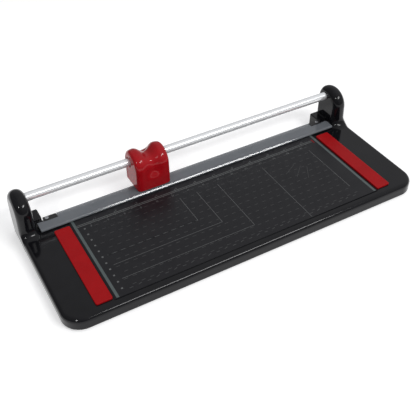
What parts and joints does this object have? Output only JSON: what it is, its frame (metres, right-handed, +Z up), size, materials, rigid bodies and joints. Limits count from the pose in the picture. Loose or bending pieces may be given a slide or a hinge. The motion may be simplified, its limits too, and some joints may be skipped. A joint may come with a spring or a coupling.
{
  "type": "rotary paper trimmer",
  "caption": "Rotary paper trimmer: round blade in a head that slides on a rail over a printed bed, with a clear clamp strip along the cutting edge.",
  "frame": {"origin": "on the table under the middle of the trimmer's outline", "axes": "+X along the rail to the user's right, -Y to the user, +Z up"},
  "size_m": [0.437, 0.177, 0.066],
  "materials": {
    "black_abs": "high gloss moulded",
    "bottom_plastic": "matt, fine grain",
    "screw_steel": "zinc plated",
    "foot_rubber": "matt",
    "printed_plate": "satin with fine light print",
    "red_guide": "satin",
    "edge_steel": "ground",
    "clear_strip": "clear, lightly smoked, polished",
    "black_trim": "matt",
    "spring_steel": "bright drawn wire",
    "rail_aluminium": "polished",
    "plug_brass": "turned",
    "slide_plastic": "natural, waxy",
    "red_abs": "high gloss moulded",
    "dark_screw": "black oxide",
    "hub_plastic": "satin"
  },
  "bodies": {
    "base": {"base_shell": "black_abs", "bottom_plate": "bottom_plastic", "bottom_screws": "screw_steel", "rubber_feet": "foot_rubber", "bed_plate": "printed_plate", "side_guide_left": "red_guide", "side_guide_right": "red_guide", "counter_blade": "edge_steel", "counter_blade_screws": "screw_steel", "clamp_bracket_left": "black_trim", "clamp_bracket_right": "black_trim", "clamp_screws": "screw_steel", "clamp_springs": "spring_steel", "rail_tube": "rail_aluminium", "rail_end_plugs": "plug_brass", "rail_screws": "screw_steel"},
    "clamp": {"clamp_strip": "clear_strip"},
    "carriage": {"rail_bushings": "slide_plastic"},
    "head": {"head_housing": "red_abs", "head_rear_cover": "red_abs", "head_cover_screws": "dark_screw", "blade_carrier": "black_trim", "carrier_screws": "screw_steel", "blade_axle": "edge_steel", "axle_washer": "spring_steel", "axle_clip": "spring_steel", "blade_spring": "spring_steel", "glide_pads": "slide_plastic"},
    "blade": {"cutting_blade": "edge_steel", "blade_hub": "hub_plastic"}
  },
  "joints": [
    {"name": "clamp_press", "type": "slide", "parent": "base", "child": "clamp", "axis": [0, 0, 1], "range_m": [-0.0007, 0], "deforming": ["clamp_springs"]},
    {"name": "head_slide", "type": "slide", "parent": "base", "child": "carriage", "axis": [1, 0, 0], "range_m": [-0.1185, 0.2315]},
    {"name": "head_tilt", "type": "hinge", "parent": "carriage", "child": "head", "pos_m": [-0.0565, 0.074, 0.05], "axis": [1, 0, 0], "range_deg": [0, 2], "stiffness_Nm_per_rad": 0.6, "springref_deg": -1.72},
    {"name": "blade_spin", "type": "hinge", "parent": "head", "child": "blade", "pos_m": [-0.0565, 0.0693, 0.027], "axis": [0, 1, 0], "range_deg": [-505, 955]}
  ],
  "couplings": [
    {"joint": "clamp_press", "follows": "head_tilt", "m_per_rad": -0.02},
    {"joint": "blade_spin", "follows": "head_slide", "rad_per_m": 71.429}
  ]
}
